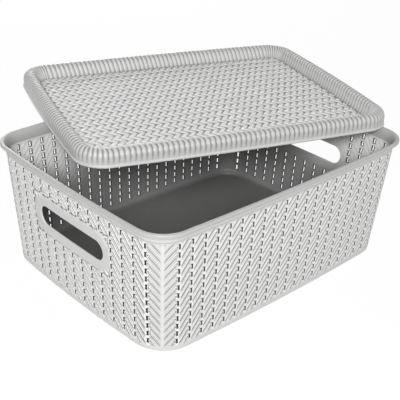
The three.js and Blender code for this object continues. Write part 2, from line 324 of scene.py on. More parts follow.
def climbed(behind, ahead, climb):
    # Rows that a strand has climbed, from its distances to the slots behind and ahead: level beside the slots
    # behind, an even slope, and a soft bend at either end.
    whole = np.maximum(behind + ahead - 2 * knit["climbRest"], 1)
    share = np.clip((behind - knit["climbRest"]) / whole, 0, 1)
    bend = np.minimum(knit["climbBend"] / whole, 0.5)
    low = share**2 / (2 * bend)
    high = 1 - bend - (1 - share) ** 2 / (2 * bend)
    even = np.where(share < bend, low, np.where(share > 1 - bend, high, share - bend / 2))
    return knit["firstRow"] + climb * even / (1 - bend)


def knitDepths(behind, ahead, path, z, cover, scale=1.0):
    # How far the surface lies inside the wall's outermost one, the strands' phase, and how strong they are.
    # The phase runs once from crest to crest up a row. Beside the slots the strands sink into a smooth knot,
    # and a spur slants up from the corner of each slot ahead.
    row = (z - knit["topSlot"]) / knit["rowPitch"]
    phase = row - path
    depths = knit["strandDepths"]
    strands = np.interp(np.mod(phase, 1), np.linspace(0, 1, len(depths)), depths)
    strength = smooth((behind - knit["knotEnd"]) / knit["knotFade"])
    strength = strength * smooth((ahead - knit["strandEnd"]) / knit["strandFade"])
    spurAt = knit["spurStart"] + ahead * knit["spurRise"]
    fromSpur = np.mod(row - spurAt + 0.5, 1) - 0.5
    spur = knit["spurDepth"] * np.exp(-(fromSpur / knit["spurWidth"]) ** 2)
    spur = spur * smooth((knit["spurReach"] - ahead) / knit["spurFade"])
    depth = knit["knotDepth"] + (strands - knit["knotDepth"]) * strength + spur
    return cover * depth * scale, phase, cover * strength * scale


def levelHeights(finer=1):
    # heights of the grid's levels: even steps over each slot and each bridge, and the plain bands
    half = knit["slotHalfHeight"]
    gap = knit["rowPitch"] - 2 * half
    slotSteps, bridgeSteps = knit["levelSteps"]
    bridge = half + gap * np.arange(1, bridgeSteps) / bridgeSteps
    oneRow = np.concatenate([np.linspace(-half, half, slotSteps + 1), bridge])
    rows = lowestSlot + knit["rowPitch"] * np.arange(knit["rows"])[:, None] + oneRow[None, :]
    rows = rows.ravel()[:-len(bridge)]
    above = rows[-1] + (basket["wallTop"] - rows[-1]) * np.array([0.25, 0.5, 0.75, 1.0])
    levels = np.concatenate([knit["footLevels"], rows, above])
    if finer > 1:
        levels = np.interp(np.arange((len(levels) - 1) * finer + 1) / finer, np.arange(len(levels)), levels)
    return levels


def wallLines(side):
    # Sideways places of a wall's grid lines at its top: a slot column's middle and its two edges, with
    # evenly spread lines between columns, and two more lines past the last slots.
    pitch, columns = knit[side]
    edge = knit["slotHalfWidth"]
    between = np.linspace(edge, pitch - edge, knit["linesBetween"] + 2)
    oneColumn = np.concatenate([[0.0], between])
    starts = np.arange(-columns, columns) * pitch
    inside = (starts[:, None] + oneColumn[None, :]).ravel()
    last = columns * pitch
    beyond = np.array([edge, (edge + knit["margin"]) / 2, knit["margin"]])
    return np.concatenate([-last - beyond[::-1], inside, [last], last + beyond])


def innerDepths(depth, cover):
    # how deep a wall's inner side lies: its thickness, less under the pattern, and a share of the relief
    thickness = basket["wallThickness"] + (basket["skin"] - basket["wallThickness"]) * cover
    return thickness + basket["innerRelief"] * depth


def wallSurface(side, lean, lateral, z):
    # Outer and inner surface points of a wall, in the wall's own directions: sideways, outwards and up. Lean
    # is 1 where the strands climb towards the positive side and -1 where they climb the other way.
    pitch = knit[side][0]
    place = lean * lateral / (pitch * columnSpread(side, z))
    behind = (place - np.floor(place)) * pitch
    ahead = pitch - behind
    path = climbed(behind, ahead, knit["climb"])
    handGap = handDistance(lateral, z)[0] if side == "end" else None
    cover = coverage(z, handGap)
    depth, phase, strength = knitDepths(behind, ahead, path, z, cover)
    out, normalAlong, normalOut = wallPoint(side, lateral, z)
    outer, inner = (joined(lateral - normalAlong * inset, out - normalOut * inset, z)
                    for inset in (depth, innerDepths(depth, cover)))
    # the first mark is painted shade: the relief's depth, and more on the plain bands
    return outer, inner, joined(depth + (1 - cover) * knit["plainShade"], phase, strength)


def wallGrid(side):
    # the grid's places: lines that spread with the taper, drawn in at the waist of each slot, and level rows
    pitch, columns = knit[side]
    lines = wallLines(side)[:, None]
    z = levelHeights()[None, :]
    place = lines / pitch
    spread = columnSpread(side, z)
    row = (z - knit["topSlot"]) / knit["rowPitch"]
    fromSlot = np.abs(row - np.round(row)) * knit["rowPitch"]
    inRows = (row < 0.5) & (row > 0.5 - knit["rows"])
    waist = np.where(inRows, np.maximum(1 - fromSlot / knit["slotHalfHeight"], 0), 0)
    pinch = (knit["slotHalfWidth"] - knit["slotWaist"]) * waist ** knit["waistCurve"]
    offset = lines - np.round(place) * pitch
    isLast = np.abs(lines) > columns * pitch - 1e-6
    offset = np.where(isLast, lines - np.sign(lines) * columns * pitch, offset)
    isEdge = np.abs(np.abs(offset) - knit["slotHalfWidth"]) < 1e-6
    centre = (lines - offset) * spread
    between = np.where(isEdge | isLast, offset - np.sign(offset) * pinch * isEdge, offset * spread)
    return centre + between, np.broadcast_to(z, centre.shape)


def slotCells(side, gridShape):
    # which cells of a wall's grid are slots: the two beside each slot line, over the slot's height
    lineStarts = edgeLines + np.arange(2 * knit[side][1] + 1) * columnLines
    levelStarts = footLevels + np.arange(knit["rows"]) * rowLevels
    missing = np.zeros((gridShape[0] - 1, gridShape[1] - 1), dtype=bool)
    lineCells = (lineStarts[:, None] + np.array([-1, 0])).ravel()
    levelCells = (levelStarts[:, None] + np.arange(knit["levelSteps"][0])).ravel()
    missing[np.ix_(lineCells, levelCells)] = True
    return missing


def insideShade(z):
    # painted shade: the walls' inner side is coloured darker towards the floor, where little light comes
    high, low = knit["insideShades"]
    start, fade = knit["insideFade"]
    return high + (low - high) * smooth((start - z) / fade)


def slotCorners(missing):
    # which points of the grid are a corner of a missing cell
    padded = np.pad(missing, 1)
    return padded[:-1, :-1] | padded[1:, :-1] | padded[:-1, 1:] | padded[1:, 1:]


def turned(points, side, isOpposite):
    # from a wall's own directions to the box's: the front wall faces -Y, the right one +X
    along, out, z = points[..., 0], points[..., 1], points[..., 2]
    x, y = (along, -out) if side == "long" else (out, along)
    if isOpposite:
        x, y = -x, -y
    return joined(x, y, z)


def handRings(lean, lateral, z, loop):
    # Rings from the edge of the cut-out block of cells in to the hand hole, round its edge and back out
    # behind: each point slides along the line to its nearest point of the hole.
    gap, centre, awayAlong, awayUp = handDistance(lateral.ravel()[loop], z.ravel()[loop])
    half = basket["wallThickness"] / 2
    slides = np.array(handHole["slides"])
    outerGaps = half + (gap - half)[None, :] * slides[:, None]
    bend = np.pi * np.arange(1, handHole["edgeSteps"]) / handHole["edgeSteps"]
    edgeGaps = (half - half * np.sin(bend))[:, None] * np.ones_like(gap)
    gaps = np.concatenate([outerGaps, edgeGaps, outerGaps[::-1]])
    reach = handHole["radius"] + gaps
    ringLateral = centre + awayAlong * reach
    ringZ = handHole["height"] + awayUp * reach
    outer, inner, knitMarks = wallSurface("end", lean, ringLateral, ringZ)
    behind = np.concatenate([np.zeros(len(slides)), (1 - np.cos(bend)) / 2, np.ones(len(slides))])
    marks = np.zeros(outer.shape)
    # behind the hole's edge the painted shade turns to that of the walls' inner side
    marks[..., 0] = knitMarks[..., 0] + (insideShade(ringZ) - knitMarks[..., 0]) * behind[:, None]
    return outer + (inner - outer) * behind[:, None, None], marks


def basketWall(name, side, lean, isOpposite):
    # Two skins over one grid, open at the slots. In an end wall the cells around the hand hole give way to
    # rings that run in to its edge, round it and back out behind.
    lateral, z = wallGrid(side)
    outer, inner, knitMarks = wallSurface(side, lean, lateral, z)
    count = lateral.size
    outerIds = np.arange(count).reshape(lateral.shape)
    innerIds = outerIds + count
    missing = slotCells(side, lateral.shape)
    points = [outer.reshape(-1, 3), inner.reshape(-1, 3)]
    # painted shade: the slots' sides are coloured near black, and the inner side darker towards the floor
    atSlot = slotCorners(missing)
    knitMarks[..., 0] = np.where(atSlot, knit["slotShades"][0], knitMarks[..., 0])
    innerMarks = np.zeros_like(knitMarks)
    innerMarks[..., 0] = np.where(atSlot, knit["slotShades"][1], insideShade(z))
    marks = [knitMarks.reshape(-1, 3), innerMarks.reshape(-1, 3)]
    extraFaces = []
    carriedOn = np.zeros_like(missing)
    if side == "end":
        # the block of cells is two lines short of the slot columns and one level clear of the slots
        middleLine = edgeLines + knit["end"][1] * columnLines
        reach = handHole["columns"] * columnLines - 2
        firstLine, lastLine = middleLine - reach, middleLine + reach
        lowRow, highRow = (knit["rows"] - row for row in handHole["rows"])
        firstLevel = footLevels + lowRow * rowLevels + knit["levelSteps"][0] + 1
        lastLevel = footLevels + highRow * rowLevels - 1
        carriedOn[firstLine:lastLine, firstLevel:lastLevel] = True
        loop = np.concatenate([
            outerIds[firstLine:lastLine, firstLevel],
            outerIds[lastLine, firstLevel:lastLevel],
            outerIds[lastLine:firstLine:-1, lastLevel],
            outerIds[firstLine, lastLevel:firstLevel:-1],
        ])
        rings, ringMarks = handRings(lean, lateral, z, loop)
        ringIds = 2 * count + np.arange(rings.shape[0] * rings.shape[1]).reshape(rings.shape[:2])
        loops = np.concatenate([loop[None, :], ringIds, loop[None, :] + count])
        extraFaces.append(quads(loops.T, (1, 0)))
        points.append(rings.reshape(-1, 3))
        marks.append(ringMarks.reshape(-1, 3))
    faces, sharpPairs = gridShell(outerIds, innerIds, ~(missing | carriedOn), carriedOn, lean < 0)
    points = turned(np.concatenate(points), side, isOpposite)
    return pieceFrom(name, points, [faces] + extraFaces, sharpPairs, np.concatenate(marks))


def basketCorner(name, kind, isMirrored, isOpposite):
    # A corner's strands run from the long wall's last slots round to the end wall's first. Its place along
    # the outline is a length, and the walls' margins at either end are left to the walls. The strands climb
    # away from its middle ("valley"), up to it ("peak"), or round it, from the long wall or from the end one.
    z = levelHeights(finer=2)
    outline = quarterOutline(z)
    pointX, pointY, turn, length = outline
    first, last = cornerReach(z, outline, knit["margin"])
    along = first + (last - first) * np.linspace(0, 1, knit["cornerLines"])[None, :]
    start = np.interp(z, cornerHeights, cornerStarts[:, 0])[:, None]
    end = np.interp(z, cornerHeights, cornerEnds[:, 0])[:, None]
    nearest = np.minimum(along - start, end - along)
    half = (end - start) / 2
    if kind == "valley":
        # the strands start at a smooth band up the corner's middle, steeper there than beside the slots
        behind, ahead = half - nearest + knit["bandShift"], nearest
        fall = np.clip(nearest / half, 0, 1) ** knit["cornerCurve"]
        path = knit["firstRow"] + knit["cornerClimb"] * (1 - fall / 2)
    elif kind == "peak":
        behind, ahead = nearest, np.full_like(along, knit["peakAhead"])
        path = climbed(nearest, 2 * half - nearest, knit["cornerClimb"])
    else:
        behind, ahead = along - start, end - along
        if kind == "fromEnd":
            behind, ahead = ahead, behind
        path = climbed(behind, ahead, knit["cornerClimb"])
    heights = np.broadcast_to(z[:, None], along.shape)
    cover = coverage(heights)
    depth, phase, strength = knitDepths(behind, ahead, path, heights, cover, knit["cornerShare"])
    x, y, angle = (readRows(along, length, values) for values in (pointX, pointY, turn))
    flip = -1 if isMirrored else 1
    side = -1 if isOpposite else 1

    def laid(*parts):
        # levels of lines made into lines of levels, which run the other way on a mirrored corner
        return joined(*parts).transpose(1, 0, 2)[::flip]

    points = [laid(flip * side * (x - np.sin(angle) * inset), side * (np.cos(angle) * inset - y), heights)
              for inset in (depth, innerDepths(depth, cover))]
    # painted shade mark: the relief's depth, more on the plain bands, a little more on the corner, and the
    # inner side's
    mark = depth + (1 - cover * knit["cornerShare"]) * knit["plainShade"] + knit["cornerShade"] * cover
    marks = [laid(mark, phase, strength), laid(insideShade(heights), 0, 0)]
    ids = np.arange(along.size).reshape(along.shape[::-1])
    kept = np.ones(quads(ids).shape[:2], dtype=bool)
    faces, sharpPairs = gridShell(ids, ids + ids.size, kept, ~kept)
    return pieceFrom(name, points, [faces], sharpPairs, marks)


def fullPath(size, count):
    # The whole outline, counter-clockwise from the middle of the front: a point of the inner rectangle's
    # bulging side and the outward direction there. Count is how many evenly spread points there are, or the
    # places of the points as shares of the whole length.
    baseX, baseY, turn = outlineTurns(*size, 400)
    quarter = joined(baseX, -baseY, np.sin(turn), -np.cos(turn))
    mirrored = (quarter * [1, -1, 1, -1])[::-1][1:]
    half = np.concatenate([quarter, mirrored])
    opposite = (half * [-1, -1, -1, -1])[1:]
    whole = np.concatenate([half, opposite])
    edge = whole[:, :2] + whole[:, 2:] * size[2]
    length = np.concatenate([[0], np.cumsum(np.hypot(*np.diff(edge, axis=0).T))])
    wanted = length[-1] * (np.arange(count) / count if np.isscalar(count) else count)
    sampled = joined(*(np.interp(wanted, length, values) for values in whole.T))
    sampled[:, 2:] /= np.linalg.norm(sampled[:, 2:], axis=1)[:, None]
    return sampled


def sweptRing(path, radius, insets, heights):
    # a closed section carried round the outline, with insets and heights at its points, or at each place too
    path = path.reshape(len(path), -1, 4)
    flat = path[..., :2] + path[..., 2:] * (radius - insets)[..., None]
    return np.concatenate([flat, np.broadcast_to(heights, flat.shape[:2])[..., None]], axis=-1)


def ringPairs(ids, sectionPoints):
    # the edges that run round a ring at some points of its section
    ahead = np.roll(ids, -1, axis=0)
    return np.concatenate([joined(ids[:, k], ahead[:, k]) for k in sectionPoints])


def sweptPiece(name, points, sharpAt, shadeMark):
    # a piece that is one ring, with sharp edges at some points of its section and painted shade marks at all
    # of them
    ids = np.arange(points.shape[0] * points.shape[1]).reshape(points.shape[:2])
    marks = np.zeros(points.shape)
    marks[..., 0] = shadeMark
    return pieceFrom(name, points, [quads(ids, (1, 1))], ringPairs(ids, sharpAt), marks)


def alongSection(count, *stretches):
    # numbers at a section's points, as even ramps: first point, the one after the last, and the values there
    made = np.zeros(count)
    for first, after, start, end in stretches:
        made[first:after] = np.linspace(start, end, after - first)
    return made


def ellipsePart(fromPoint, toPoint, count, startUpright=True):
    # a quarter of an ellipse between two points of a section, upright at its start or at its end
    angle = np.linspace(0, np.pi / 2, count)
    shares = joined(1 - np.cos(angle), np.sin(angle))
    first, second = np.array(fromPoint), np.array(toPoint)
    return first + (second - first) * (shares if startUpright else shares[:, ::-1])


# the rim: a flare that ends in a rounded lip with a fine groove under it
rim = {
    "grooveHeight": 139.2,
    "flareInset": 1.1,  # how far in from the lip the flare ends
    "lipUnder": ((0.75, 139.45), (0.0, 140.4)),  # inset and height where the lip's underside starts and ends
    "lipRound": 1.3,
    "innerEdge": 2.2,  # where the lip's flat top ends and the inner flare begins
    # painted shade marks, which darken the lip and the flare, and darker still for the painted shadow lines
    # beside the flare
    "lipShade": 1.05,
    "bandShade": 0.85,  # painted shade marks of the flare and of the painted shadow lines above and below it
    "grooveShade": 1.3,
    "pathPoints": 620,
}


def basketRim(name):
    # a section of four quarter ellipses, the flare, the lip's underside, its top and the inner flare,
    # carried round the outline
    top = basket["height"]
    foot = basket["wallTop"]
    overhang = basket["lipOverhang"]
    roundness = rim["lipRound"]
    innerFoot = overhang + basket["wallThickness"]
    flare = ellipsePart((overhang, foot), (rim["flareInset"], rim["grooveHeight"]), 10)
    lipUnder = ellipsePart(*rim["lipUnder"], 5, False)
    lipTop = ellipsePart((0.0, top - roundness), (roundness, top), 6)
    inside = ellipsePart((innerFoot, foot), (rim["innerEdge"], top), 14)[::-1]
    section = np.concatenate([flare, lipUnder, lipTop, inside])
    points = sweptRing(fullPath(basket["rim"], rim["pathPoints"]), basket["rim"][2], *section.T)
    # painted shade: the lip and flare darkened, with painted shadow lines at the flare's foot and under the
    # lip
    shadeMark = np.full(len(section), rim["lipShade"])
    shadeMark[:len(flare)] = rim["bandShade"]
    shadeMark[[0, len(flare) - 1, len(flare)]] = rim["grooveShade"]
    return sweptPiece(name, points, [0, len(section) - 1], shadeMark)


# the floor: a plate with a rounded edge that turns up into the walls, and a low foot around its underside
floorForm = {
    "thickness": 2.4,
    "edgeRound": 4.4,
    "insideRound": 3.0,
    "footWidth": 14.0,
    "footHeight": 0.7,
    "footSlope": 1.2,
    "rings": (0.8, 0.5, 0.2),  # rings across the floor, as shares of its outline
    "pathPoints": 480,
    "insideShade": 1.65,  # painted shade mark of its upper side, which colours it darker
}


def basketFloor(name):
    # rings from the middle of the underside out over the foot, up round the edge and in over the upper side,
    # with a fan of triangles at either end
    foot = basket["wallFoot"]
    wall = basket["wallThickness"]
    radius = basket["base"][2]
    edge = ellipsePart((floorForm["edgeRound"], 0.0), (0.0, floorForm["edgeRound"]), 8, False)
    inside = ellipsePart((wall, foot), (wall + floorForm["insideRound"], floorForm["thickness"]), 6)
    footEnd = floorForm["edgeRound"] + floorForm["footWidth"]
    under = np.array([[footEnd + floorForm["footSlope"], floorForm["footHeight"]], [footEnd, 0.0]])
    section = np.concatenate([edge, [[0.0, foot]], inside])
    path = fullPath(basket["base"], floorForm["pathPoints"])
    # the section leans out with the walls' taper
    grow = wallSize(section[:, 1])[0] - basket["base"][0]
    ring = sweptRing(path, radius, section[:, 0] - grow, section[:, 1])
    topLoops = [ring[:, -1] * [share, share, 1] for share in floorForm["rings"]]
    lowFoot = sweptRing(path, radius, *under.T)
    lowLoops = [lowFoot[:, 0] * [share, share, 1] for share in floorForm["rings"][::-1]]
    loops = lowLoops + [lowFoot[:, 0], lowFoot[:, 1]] + [ring[:, k] for k in range(ring.shape[1])] + topLoops
    grid = np.arange(len(loops) * len(path)).reshape(len(loops), len(path))
    ahead = np.roll(grid, -1, axis=1)
    lowFan = joined(ahead[0], grid[0], grid.size)
    topFan = joined(grid[-1], ahead[-1], grid.size + 1)
    points = np.concatenate(loops + [[[0, 0, floorForm["footHeight"]], [0, 0, floorForm["thickness"]]]])
    wallLoop = len(lowLoops) + 2 + len(edge)
    sharpPairs = ringPairs(grid.T, (wallLoop, wallLoop + 1))
    marks = np.zeros(points.shape)
    # painted shade: the floor's upper side is coloured darker
    marks[wallLoop * len(path):, 0] = floorForm["insideShade"]
    return pieceFrom(name, points, [quads(grid.T, (1, 0)), lowFan, topFan], sharpPairs, marks)


# the lid: where it lies, its rolled and ribbed border, and its sunken woven panel
lid = {
    "turn": math.radians(-19.4),
    "shift": (64.0, 81.0),
    "floorHeight": 143.7,  # height of the lid's underside
    "outline": (190.12, 143.62, 34.12),
    "height": 17.98,
    "rollRadius": 8.6,
    "borderWidth": 21.2,
    "skin": 2.2,
    "panelTop": 3.0,
    "flangeHeight": 1.9,
    "flangeWidth": 0.9,  # how far the flange stands out from the roll
}
# the border's ribs and the grooves between them
ribs = {
    "count": 214,
    "places": (0.0, 0.1, 0.28, 0.5, 0.72, 0.9),  # a rib's points across its width, from groove to groove
    "shape": (1.0, 0.62, 0.12, 0.0, 0.12, 0.62),  # and how much of the groove's depth each one has
    "depth": 0.9,
    "footShare": 0.25,  # how much of that depth they have at the flange
    "slopeDepth": 1.05,
    "slopeLead": 6,  # how many section points before the slope the grooves begin to change to that depth
    "lean": -1.0,  # how many of their widths they lean sideways as they cross the roll and the slope
    "leanAfter": 3,  # how many section points up the roll they begin to lean
    "mark": 0.6,  # how much their grooves' depth darkens the colour, as painted shade
    "markShares": (0.2, 1.3, 0.6),  # and how much of that at the flange, on the roll and on the slope
    "rollPoints": 8,  # how many section points up the roll the second of these is reached
    "borderShade": 0.98,  # the painted shade mark between the grooves, which darkens the whole border
    "footShadows": (0.03, 0.09, 0.3),  # the painted shadow line that is added to it at the last points of the slope
}


def lidPlace(points):
    # the lid's own place to the box's: a turn about +Z, a shift, and up on to the rim
    cosine, sine = math.cos(lid["turn"]), math.sin(lid["turn"])
    x = points[..., 0] * cosine - points[..., 1] * sine + lid["shift"][0]
    y = points[..., 0] * sine + points[..., 1] * cosine + lid["shift"][1]
    return joined(x, y, points[..., 2] + lid["floorHeight"])


def lidSkins():
    # The border's section as two skins: an arc over the roll, then the slope that touches it, down to the
    # panel's edge. The inner skin is the same arc, smaller by the skin's thickness.
    roll = lid["rollRadius"]
    outset = lid["flangeWidth"]
    radius = roll - outset / 2
    centreIn = outset + radius
    centreUp = lid["height"] - radius
    toPanelX = lid["borderWidth"] - centreIn
    toPanelZ = lid["panelTop"] - centreUp
    reach = math.hypot(toPanelX, toPanelZ)
    touch = math.atan2(toPanelZ, toPanelX) + math.acos(radius / reach)
    angles = np.linspace(math.pi, touch, 15)
    arc = joined(centreIn + radius * np.cos(angles), centreUp + radius * np.sin(angles))
    slope = np.linspace(arc[-1], [lid["borderWidth"], lid["panelTop"]], 7)[1:]
    small = radius - lid["skin"]
    angles = np.linspace(touch, math.pi, 8)
    innerArc = joined(centreIn + small * np.cos(angles), centreUp + small * np.sin(angles))
    innerFoot = [innerArc[0, 0] + innerArc[0, 1] * math.tan(touch), 0.0]
    return arc, slope, innerArc, innerFoot


def lidBorder(name):
    # The section of flange, wall, roll, slope and hollow underside, carried round the outline. Grooves go in
    # along the section's own outward direction, and lean sideways by taking each point further round.
    arc, slope, innerArc, innerFoot = lidSkins()
    low, width = lid["flangeHeight"], lid["flangeWidth"]
    # the flange's rounded section, as insets and heights
    flange = np.array([[0.25, 0.0], [0.0, 0.3], [0.0, low - 0.4], [0.25, low], [width - 0.2, low + 0.15]])
    wall = joined(np.full(4, width), np.linspace(low + 0.6, arc[0, 1], 5)[:-1])
    edgeEnd = np.array([[lid["borderWidth"], 0.0]])
    inner = np.concatenate([[innerFoot], innerArc, [[width + lid["skin"], 0.0]]])
    section = np.concatenate([flange, wall, arc, slope, edgeEnd, inner])
    firstWall = len(flange)
    firstArc = firstWall + len(wall)
    firstSlope = firstArc + len(arc)
    outerCount = firstSlope + len(slope)
    ahead = np.roll(section, -1, axis=0) - np.roll(section, 1, axis=0)
    outwards = joined(-ahead[:, 1], ahead[:, 0])
    outwards /= np.linalg.norm(outwards, axis=1)[:, None]

    count = len(section)
    strength = alongSection(count, (firstWall, firstArc, ribs["footShare"], 1), (firstArc, outerCount, 1, 1))
    onSlope = alongSection(count, (firstSlope - ribs["slopeLead"], outerCount, 0, 1))
    depth = strength * (ribs["depth"] + (ribs["slopeDepth"] - ribs["depth"]) * onSlope)
    leans = smooth(alongSection(count, (firstArc + ribs["leanAfter"], outerCount + 1, 0, 1)))
    leans = ribs["lean"] / ribs["count"] * (leans + alongSection(count, (outerCount + 1, count, 1, 0)))

    fractions = ((np.arange(ribs["count"])[:, None] + np.array(ribs["places"])) / ribs["count"]).ravel()
    path = np.stack([fullPath(lid["outline"], (fractions + lean) % 1) for lean in leans], axis=1)
    groove = np.tile(ribs["shape"], ribs["count"])[:, None] * depth
    ring = sweptRing(path, lid["outline"][2], section[:, 0] - outwards[:, 0] * groove,
                     section[:, 1] - outwards[:, 1] * groove)
    flangeShare, rollShare, slopeShare = ribs["markShares"]
    fullRoll = firstArc + ribs["rollPoints"]
    shares = alongSection(count, (0, fullRoll, flangeShare, rollShare), (fullRoll, firstSlope, 1, 1),
                          (firstSlope, outerCount, slopeShare, slopeShare))
    # painted shade: the grooves and the whole border darkened, and a painted shadow line at the slope's foot
    shadeMark = groove * ribs["mark"] * shares + ribs["borderShade"]
    shadeMark[:, outerCount - len(ribs["footShadows"]):outerCount] += ribs["footShadows"]
    sharpAt = [0, 3, outerCount - 1, outerCount, outerCount + 1, count - 1]
    return sweptPiece(name, lidPlace(ring), sharpAt, shadeMark)


# the panel's weave: rows of leaf-shaped strands that lean left and right in turn
weave = {
    "pitch": 9.03,
    "rowPair": 16.08,
    "lean": 7.3,  # how far a strand's groove runs sideways over one row
    "start": -1.0,  # where a groove crosses the row line through the lid's middle
    "height": 1.9,
    "rowDip": 0.4,
    "wave": 0.35,  # how much higher the strands cross every second row line
    "base": 2.1,  # height of the grooves' bottoms above the lid's underside
    "mark": 1.15,  # how much of a hollow's depth darkens its colour, as painted shade
    "channel": 1.4,  # height of the narrow channel along the panel's edge
    "linesPerPitch": 9,  # grid lines per strand, and per pair of rows
    "linesPerPair": 16,
    "overlap": 0.8,  # how far the panel reaches under the border's slope, and where its channel begins
    "edgeFade": 1.5,  # the width over which the strands rise from the channel
    "stretch": 25.0,  # the width at the panel's edges over which the grid's lines are stretched to end there
    "follow": 30.0,  # and the width over which they come to follow the strands
}


def rowShare(v):
    # 0 on every second row line, 1 on the ones between them, and an even ramp from one to the next
    return np.abs(np.mod(v / weave["rowPair"] + 0.5, 1) - 0.5) * 2


def weaveHeight(u, v):
    # Half-round strands side by side along u, each one leaning over its row, and lower at the row's two ends.
    toRow = rowShare(v)
    phase = np.mod((u - weave["start"] - weave["lean"] * toRow) / weave["pitch"], 1)
    arch = np.sqrt(np.clip(1 - (2 * phase - 1) ** 2, 0, 1))
    ends = 1 - weave["rowDip"] * np.abs(2 * toRow - 1) ** 3
    return weave["height"] * arch * ends + weave["wave"] * (1 - toRow), ends


def fittedLines(half, step, offset):
    # evenly spaced lines through an offset, with the outer ones stretched to end at plus and minus half
    count = int(half / step)
    lines = offset % step + np.arange(-count, count) * step
    keep = half - weave["stretch"]
    highEnd, lowEnd = lines[-1], -lines[0]
    lines = np.where(lines > keep, keep + (lines - keep) * (half - keep) / (highEnd - keep), lines)
    return np.where(lines < -keep, -keep + (lines + keep) * (half - keep) / (lowEnd - keep), lines)


def lidPanel(name):
    # The plate's top is a grid that fills the border's rounded outline: a rectangle's grid whose corner
    # squares are bent into quarter discs, and whose lines follow the strands away from the two ends.
    inset = lid["borderWidth"] - weave["overlap"]
    halfLength, halfWidth, radius = (size - inset for size in lid["outline"])
    lineStep = weave["pitch"] / weave["linesPerPitch"]
    u = fittedLines(halfLength, lineStep, weave["start"] + weave["lean"] / 2)[:, None]
    v = fittedLines(halfWidth, weave["rowPair"] / weave["linesPerPair"], 0.0)[None, :]
    toRow = rowShare(v)
    u = u + smooth((halfLength - np.abs(u)) / weave["follow"]) * (weave["lean"] * toRow - weave["lean"] / 2)
    v = np.broadcast_to(v, u.shape)
    cornerU = np.clip((np.abs(u) - (halfLength - radius)) / radius, 0, 1)
    cornerV = np.clip((np.abs(v) - (halfWidth - radius)) / radius, 0, 1)
    pulledU = cornerU * (1 - np.sqrt(1 - cornerV**2 / 2)) * radius
    pulledV = cornerV * (1 - np.sqrt(1 - cornerU**2 / 2)) * radius
    bow = basket["bow"]
    bowU = bow * (v / halfWidth) ** 2 * (u / halfLength) ** 4
    bowV = bow * (u / halfLength) ** 2 * (v / halfWidth) ** 4
    placeU = u - np.sign(u) * (pulledU + bowU)
    placeV = v - np.sign(v) * (pulledV + bowV)
    edgeGap = np.minimum(halfLength - np.abs(u), halfWidth - np.abs(v))
    edge = smooth((edgeGap - weave["overlap"]) / weave["edgeFade"])
    rise, ends = weaveHeight(placeU, placeV)
    rise = rise * edge
    base = weave["channel"] + (weave["base"] - weave["channel"]) * edge
    top = joined(placeU, placeV, base + rise)
    ids = np.arange(u.size).reshape(u.shape)
    loop = np.concatenate([ids[:-1, 0], ids[-1, :-1], ids[:0:-1, -1], ids[0, :0:-1]])
    underLoop = top.reshape(-1, 3)[loop] * [1, 1, 0]
    underIds = u.size + np.arange(len(loop))
    nextTop, nextUnder = np.roll(loop, -1), np.roll(underIds, -1)
    rimQuads = joined(nextTop, loop, underIds, nextUnder)
    fan = joined(nextUnder, underIds, u.size + len(loop))
    points = np.concatenate([top.reshape(-1, 3), underLoop, [[0, 0, 0]]])
    sharpPairs = np.concatenate([joined(loop, nextTop), joined(underIds, nextUnder)])
    marks = np.zeros(points.shape)
    phase = (placeU - weave["start"] - weave["lean"] * toRow) / weave["pitch"]
    # painted shade: the lower the weave, the darker its colour
    marks[:u.size] = joined(weave["mark"] * (weave["height"] - rise), phase, edge * ends).reshape(-1, 3)
    return pieceFrom(name, lidPlace(points), [quads(ids), rimQuads, fan], sharpPairs, marks)


class Wire:
    # a shader socket that can stand in an expression of numbers

    def __init__(self, graph, socket):
        self.graph = graph
        self.socket = socket

    def beside(self, output):
        # another output of the same node
        return Wire(self.graph, self.socket.node.outputs[output])

    def __add__(self, other):
        return self.graph.math("ADD", self, other)

    __radd__ = __add__

    def __mul__(self, other):
        return self.graph.math("MULTIPLY", self, other)

    __rmul__ = __mul__

    def __sub__(self, other):
        return self.graph.math("SUBTRACT", self, other)

    def __rsub__(self, other):
        return self.graph.math("SUBTRACT", other, self)


class Graph:
    # the nodes of one material or world, made one at a time

    def __init__(self, owner):
        owner.use_nodes = True
        self.tree = owner.node_tree
        self.tree.nodes.clear()

    def node(self, kind, inputs=None, output=0, **settings):
        # from its type, the values or links of its sockets, the output that is wanted and its settings
        made = self.tree.nodes.new("ShaderNode" + kind)
        for key, value in settings.items():
            setattr(made, key, value)
        for key, value in (inputs or {}).items():
            if isinstance(value, Wire):
                self.tree.links.new(value.socket, made.inputs[key])
            else:
                made.inputs[key].default_value = value
        return Wire(self, made.outputs[output]) if made.outputs else None

    def math(self, operation, left, right):
        return self.node("Math", {0: left, 1: right}, operation=operation)


def reflected(red, green, blue):
    # a colour as it looks on screen, 0 to 255, turned into the share of light it reflects
    return tuple(((value / 255 + 0.055) / 1.055) ** 2.4 for value in (red, green, blue)) + (1.0,)


# both plastics: the drift of their colour, their grain, and the painted shade marks from which they turn to
# the deep painted shade
moulding = {
    "ridges": 3,  # fine ridges to a strand
    "driftScale": 14.0,
    "grainScale": 1500.0,
    "grainHeight": 0.0002,
    "driftGloss": 0.12,  # how far the drift and the grain change the roughness
    "grainGloss": 0.06,
    # the painted shade marks over which the colour turns to the deep painted shade
    "deepShadeStart": 1.7,
    "deepShadeEnd": 3.2,
    "refraction": 1.49,
}
basketFinish = {
    "pale": reflected(240, 240, 239),
    "shade": reflected(235, 235, 234),
    # painted shade, in the hollows and across the plain bands
    "paintedShade": reflected(106, 106, 105),
    "deepShade": reflected(24, 24, 24),  # painted shade inside the slots
    "shadeMarkStart": 0.15,
    "shadeMarkDepth": 1.5,  # the shade mark at which the colour is the full painted shade
    "ridgeShade": 0.27,  # how much painted shade between the fine ridges along the strands darkens the colour
    "ridgeHeight": 0.00045,  # their height in metres
    "roughness": 0.42,
    "grain": 0.10,  # height of the moulded grain, as a bump strength
}
